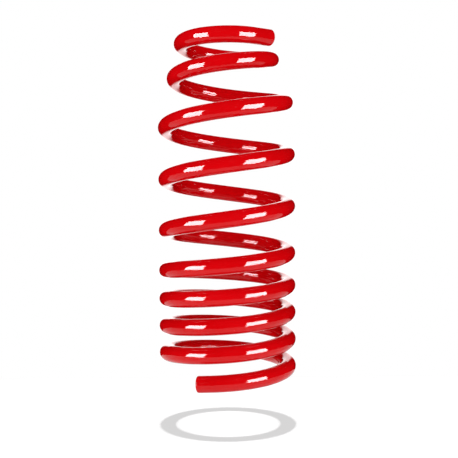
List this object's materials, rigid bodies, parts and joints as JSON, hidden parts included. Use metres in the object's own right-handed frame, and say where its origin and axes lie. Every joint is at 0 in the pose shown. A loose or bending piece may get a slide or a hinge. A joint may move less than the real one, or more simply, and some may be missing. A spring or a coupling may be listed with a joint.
{
  "type": "coil spring",
  "caption": "Right-hand progressive coil spring for a car suspension, with close coils at the foot, an open-ended tail and a tapered pigtail top.",
  "frame": {"origin": "on the spring axis, level with the underside of the tail, which is the centre of the lower spring seat", "axes": "+Z along the spring axis from the tail to the pigtail; -Y is the side that the tail ends on"},
  "size_m": [0.1222, 0.1223, 0.3121],
  "materials": {
    "powder_coat": "smooth high-gloss red powder coat over spring steel"
  },
  "bodies": {
    "tail_coil": {"tail_coil_1_front": "powder_coat", "tail_coil_1_right": "powder_coat", "tail_coil_1_back": "powder_coat", "tail_coil_1_left": "powder_coat"},
    "close_coil_2_front": {"close_coil_2_front": "powder_coat"},
    "close_coil_2_right": {"close_coil_2_right": "powder_coat"},
    "close_coil_2_back": {"close_coil_2_back": "powder_coat"},
    "close_coil_2_left": {"close_coil_2_left": "powder_coat"},
    "close_coil_3_front": {"close_coil_3_front": "powder_coat"},
    "close_coil_3_right": {"close_coil_3_right": "powder_coat"},
    "close_coil_3_back": {"close_coil_3_back": "powder_coat"},
    "close_coil_3_left": {"close_coil_3_left": "powder_coat"},
    "close_coil_4_front": {"close_coil_4_front": "powder_coat"},
    "close_coil_4_right": {"close_coil_4_right": "powder_coat"},
    "close_coil_4_back": {"close_coil_4_back": "powder_coat"},
    "close_coil_4_left": {"close_coil_4_left": "powder_coat"},
    "main_coil_5_front": {"main_coil_5_front": "powder_coat"},
    "main_coil_5_right": {"main_coil_5_right": "powder_coat"},
    "main_coil_5_back": {"main_coil_5_back": "powder_coat"},
    "main_coil_5_left": {"main_coil_5_left": "powder_coat"},
    "main_coil_6_front": {"main_coil_6_front": "powder_coat"},
    "main_coil_6_right": {"main_coil_6_right": "powder_coat"},
    "main_coil_6_back": {"main_coil_6_back": "powder_coat"},
    "main_coil_6_left": {"main_coil_6_left": "powder_coat"},
    "main_coil_7_front": {"main_coil_7_front": "powder_coat"},
    "main_coil_7_right": {"main_coil_7_right": "powder_coat"},
    "main_coil_7_back": {"main_coil_7_back": "powder_coat"},
    "main_coil_7_left": {"main_coil_7_left": "powder_coat"},
    "main_coil_8_front": {"main_coil_8_front": "powder_coat"},
    "main_coil_8_right": {"main_coil_8_right": "powder_coat"},
    "main_coil_8_back": {"main_coil_8_back": "powder_coat"},
    "main_coil_8_left": {"main_coil_8_left": "powder_coat"},
    "neck_coil_9_front": {"neck_coil_9_front": "powder_coat"},
    "neck_coil_9_right": {"neck_coil_9_right": "powder_coat"},
    "pigtail_seat_coil": {"neck_coil_9_back": "powder_coat", "neck_coil_9_left": "powder_coat", "pigtail_coil_10_front": "powder_coat"}
  },
  "joints": [
    {"name": "close_coil_2_front_twist", "type": "hinge", "parent": "tail_coil", "child": "close_coil_2_front", "pos_m": [-0.03836, -0.03836, 0.03028], "axis": [0, 1, 0], "range_deg": [0, 1.01], "stiffness_Nm_per_rad": 4013},
    {"name": "close_coil_2_right_twist", "type": "hinge", "parent": "close_coil_2_front", "child": "close_coil_2_right", "pos_m": [0.03836, -0.03836, 0.03633], "axis": [-0.8705, -0.4921, -0.0072], "range_deg": [0, 1.99], "stiffness_Nm_per_rad": 4013},
    {"name": "close_coil_2_back_twist", "type": "hinge", "parent": "close_coil_2_right", "child": "close_coil_2_back", "pos_m": [0.03836, 0.03836, 0.04238], "axis": [0.7071, -0.7071, -0.0104], "range_deg": [0, 2.44], "stiffness_Nm_per_rad": 4013},
    {"name": "close_coil_2_left_twist", "type": "hinge", "parent": "close_coil_2_back", "child": "close_coil_2_left", "pos_m": [-0.03836, 0.03836, 0.04843], "axis": [0.7071, 0.7071, -0.0104], "range_deg": [0, 2.44], "stiffness_Nm_per_rad": 4013},
    {"name": "close_coils_compress", "type": "hinge", "parent": "close_coil_2_left", "child": "close_coil_3_front", "pos_m": [-0.03836, -0.03836, 0.05448], "axis": [-0.7071, 0.7071, -0.0104], "range_deg": [0, 2.38], "stiffness_Nm_per_rad": 4013},
    {"name": "close_coil_3_right_twist", "type": "hinge", "parent": "close_coil_3_front", "child": "close_coil_3_right", "pos_m": [0.03836, -0.03836, 0.06053], "axis": [-0.7071, -0.7071, -0.0104], "range_deg": [0, 2.44], "stiffness_Nm_per_rad": 4013},
    {"name": "close_coil_3_back_twist", "type": "hinge", "parent": "close_coil_3_right", "child": "close_coil_3_back", "pos_m": [0.03836, 0.03836, 0.06658], "axis": [0.7071, -0.7071, -0.0104], "range_deg": [0, 2.44], "stiffness_Nm_per_rad": 4013},
    {"name": "close_coil_3_left_twist", "type": "hinge", "parent": "close_coil_3_back", "child": "close_coil_3_left", "pos_m": [-0.03836, 0.03836, 0.07263], "axis": [0.4921, 0.8705, -0.0072], "range_deg": [0, 1.99], "stiffness_Nm_per_rad": 4013},
    {"name": "close_coil_4_front_twist", "type": "hinge", "parent": "close_coil_3_left", "child": "close_coil_4_front", "pos_m": [-0.03836, -0.03836, 0.07868], "axis": [-1, 0, 0], "range_deg": [0, 1.01], "stiffness_Nm_per_rad": 700},
    {"name": "close_coil_4_right_twist", "type": "hinge", "parent": "close_coil_4_front", "child": "close_coil_4_right", "pos_m": [0.03836, -0.03836, 0.08473], "axis": [-1, 0, 0], "range_deg": [0, 1.06], "stiffness_Nm_per_rad": 700},
    {"name": "close_coil_4_back_twist", "type": "hinge", "parent": "close_coil_4_right", "child": "close_coil_4_back", "pos_m": [0.03836, 0.03836, 0.09086], "axis": [0.4472, -0.8944, -0.0078], "range_deg": [0, 2.3], "stiffness_Nm_per_rad": 4012},
    {"name": "close_coil_4_left_twist", "type": "hinge", "parent": "close_coil_4_back", "child": "close_coil_4_left", "pos_m": [-0.03836, 0.03836, 0.09738], "axis": [0.7831, 0.6218, -0.0137], "range_deg": [0, 3.28], "stiffness_Nm_per_rad": 4010},
    {"name": "main_coil_5_front_twist", "type": "hinge", "parent": "close_coil_4_left", "child": "main_coil_5_front", "pos_m": [-0.03836, -0.03836, 0.10455], "axis": [-0.6261, 0.7796, -0.0171], "range_deg": [0, 4.08], "stiffness_Nm_per_rad": 4007},
    {"name": "main_coil_5_right_twist", "type": "hinge", "parent": "main_coil_5_front", "child": "main_coil_5_right", "pos_m": [0.03836, -0.03836, 0.11255], "axis": [-0.7723, -0.6349, -0.0211], "range_deg": [0, 5], "stiffness_Nm_per_rad": 4004},
    {"name": "main_coil_5_back_twist", "type": "hinge", "parent": "main_coil_5_right", "child": "main_coil_5_back", "pos_m": [0.03836, 0.03836, 0.12145], "axis": [0.6476, -0.7615, -0.0254], "range_deg": [0, 5.95], "stiffness_Nm_per_rad": 3999},
    {"name": "main_coil_5_left_twist", "type": "hinge", "parent": "main_coil_5_back", "child": "main_coil_5_left", "pos_m": [-0.03836, 0.03836, 0.13125], "axis": [0.7492, 0.6617, -0.0293], "range_deg": [0, 6.83], "stiffness_Nm_per_rad": 3995},
    {"name": "main_coil_6_front_twist", "type": "hinge", "parent": "main_coil_5_left", "child": "main_coil_6_front", "pos_m": [-0.03836, -0.03836, 0.14184], "axis": [-0.6764, 0.7358, -0.0326], "range_deg": [0, 7.56], "stiffness_Nm_per_rad": 3991},
    {"name": "main_coil_6_right_twist", "type": "hinge", "parent": "main_coil_6_front", "child": "main_coil_6_right", "pos_m": [0.03836, -0.03836, 0.15302], "axis": [-0.7209, -0.6922, -0.0348], "range_deg": [0, 8.03], "stiffness_Nm_per_rad": 3988},
    {"name": "main_coil_6_back_twist", "type": "hinge", "parent": "main_coil_6_right", "child": "main_coil_6_back", "pos_m": [0.03836, 0.03836, 0.16451], "axis": [0.7049, -0.7084, -0.0356], "range_deg": [0, 8.21], "stiffness_Nm_per_rad": 3987},
    {"name": "main_coil_6_left_twist", "type": "hinge", "parent": "main_coil_6_back", "child": "main_coil_6_left", "pos_m": [-0.03836, 0.03836, 0.17604], "axis": [0.7067, 0.7067, -0.0357], "range_deg": [0, 8.23], "stiffness_Nm_per_rad": 3987},
    {"name": "main_coils_compress", "type": "hinge", "parent": "main_coil_6_left", "child": "main_coil_7_front", "pos_m": [-0.03836, -0.03836, 0.18756], "axis": [-0.7067, 0.7067, -0.0357], "range_deg": [0, 8.17], "stiffness_Nm_per_rad": 3987},
    {"name": "main_coil_7_right_twist", "type": "hinge", "parent": "main_coil_7_front", "child": "main_coil_7_right", "pos_m": [0.03836, -0.03836, 0.19909], "axis": [-0.7067, -0.7067, -0.0357], "range_deg": [0, 8.23], "stiffness_Nm_per_rad": 3987},
    {"name": "main_coil_7_back_twist", "type": "hinge", "parent": "main_coil_7_right", "child": "main_coil_7_back", "pos_m": [0.03836, 0.03836, 0.21061], "axis": [0.7067, -0.7067, -0.0357], "range_deg": [0, 8.23], "stiffness_Nm_per_rad": 3987},
    {"name": "main_coil_7_left_twist", "type": "hinge", "parent": "main_coil_7_back", "child": "main_coil_7_left", "pos_m": [-0.03836, 0.03836, 0.22214], "axis": [0.7067, 0.7067, -0.0357], "range_deg": [0, 8.23], "stiffness_Nm_per_rad": 3987},
    {"name": "main_coil_8_front_twist", "type": "hinge", "parent": "main_coil_7_left", "child": "main_coil_8_front", "pos_m": [-0.03836, -0.03836, 0.23366], "axis": [-0.7067, 0.7066, -0.0357], "range_deg": [0, 8.28], "stiffness_Nm_per_rad": 3988},
    {"name": "main_coil_8_right_twist", "type": "hinge", "parent": "main_coil_8_front", "child": "main_coil_8_right", "pos_m": [0.03788, -0.03788, 0.24519], "axis": [-0.7061, -0.7072, -0.0361], "range_deg": [0, 8.46], "stiffness_Nm_per_rad": 4041},
    {"name": "main_coil_8_back_twist", "type": "hinge", "parent": "main_coil_8_right", "child": "main_coil_8_back", "pos_m": [0.03622, 0.03622, 0.2567], "axis": [0.7836, -0.6203, -0.0333], "range_deg": [0, 7.89], "stiffness_Nm_per_rad": 4220},
    {"name": "main_coil_8_left_twist", "type": "hinge", "parent": "main_coil_8_back", "child": "main_coil_8_left", "pos_m": [-0.03388, 0.03388, 0.26751], "axis": [0.5713, 0.8203, -0.0261], "range_deg": [0, 6.32], "stiffness_Nm_per_rad": 4512},
    {"name": "neck_coil_9_front_twist", "type": "hinge", "parent": "main_coil_8_left", "child": "neck_coil_9_front", "pos_m": [-0.03139, -0.03139, 0.27656], "axis": [-0.852, 0.5233, -0.0182], "range_deg": [0, 4.56], "stiffness_Nm_per_rad": 4873},
    {"name": "neck_coil_9_right_twist", "type": "hinge", "parent": "neck_coil_9_front", "child": "neck_coil_9_right", "pos_m": [0.02927, -0.02927, 0.28469], "axis": [-0.4181, -0.9083, -0.0098], "range_deg": [0, 2.84], "stiffness_Nm_per_rad": 5221},
    {"name": "neck_coil_9_back_twist", "type": "hinge", "parent": "neck_coil_9_right", "child": "pigtail_seat_coil", "pos_m": [0.02805, 0.02805, 0.29279], "axis": [0.9998, 0.0213, 0], "range_deg": [0, 1.31], "stiffness_Nm_per_rad": 5445}
  ],
  "couplings": [
    {"joint": "close_coil_2_front_twist", "follows": "close_coils_compress", "ratio": 0.39973},
    {"joint": "close_coil_2_right_twist", "follows": "close_coils_compress", "ratio": 0.81227},
    {"joint": "close_coil_2_back_twist", "follows": "close_coils_compress", "ratio": 1},
    {"joint": "close_coil_2_left_twist", "follows": "close_coils_compress", "ratio": 1},
    {"joint": "close_coil_3_right_twist", "follows": "close_coils_compress", "ratio": 1},
    {"joint": "close_coil_3_back_twist", "follows": "close_coils_compress", "ratio": 1},
    {"joint": "close_coil_3_left_twist", "follows": "close_coils_compress", "ratio": 0.81227},
    {"joint": "close_coil_4_front_twist", "follows": "close_coils_compress", "ratio": 0.39973},
    {"joint": "close_coil_4_right_twist", "follows": "main_coils_compress", "ratio": 0.12239},
    {"joint": "close_coil_4_back_twist", "follows": "main_coils_compress", "ratio": 0.27366},
    {"joint": "close_coil_4_left_twist", "follows": "main_coils_compress", "ratio": 0.3936},
    {"joint": "main_coil_5_front_twist", "follows": "main_coils_compress", "ratio": 0.49223},
    {"joint": "main_coil_5_right_twist", "follows": "main_coils_compress", "ratio": 0.60428},
    {"joint": "main_coil_5_back_twist", "follows": "main_coils_compress", "ratio": 0.72041},
    {"joint": "main_coil_5_left_twist", "follows": "main_coils_compress", "ratio": 0.82887},
    {"joint": "main_coil_6_front_twist", "follows": "main_coils_compress", "ratio": 0.91784},
    {"joint": "main_coil_6_right_twist", "follows": "main_coils_compress", "ratio": 0.97551},
    {"joint": "main_coil_6_back_twist", "follows": "main_coils_compress", "ratio": 0.99754},
    {"joint": "main_coil_6_left_twist", "follows": "main_coils_compress", "ratio": 1},
    {"joint": "main_coil_7_right_twist", "follows": "main_coils_compress", "ratio": 1},
    {"joint": "main_coil_7_back_twist", "follows": "main_coils_compress", "ratio": 1},
    {"joint": "main_coil_7_left_twist", "follows": "main_coils_compress", "ratio": 1},
    {"joint": "main_coil_8_front_twist", "follows": "main_coils_compress", "ratio": 1.0064},
    {"joint": "main_coil_8_right_twist", "follows": "main_coils_compress", "ratio": 1.0286},
    {"joint": "main_coil_8_back_twist", "follows": "main_coils_compress", "ratio": 0.95869},
    {"joint": "main_coil_8_left_twist", "follows": "main_coils_compress", "ratio": 0.7666},
    {"joint": "neck_coil_9_front_twist", "follows": "main_coils_compress", "ratio": 0.55074},
    {"joint": "neck_coil_9_right_twist", "follows": "main_coils_compress", "ratio": 0.34021},
    {"joint": "neck_coil_9_back_twist", "follows": "main_coils_compress", "ratio": 0.15298}
  ]
}
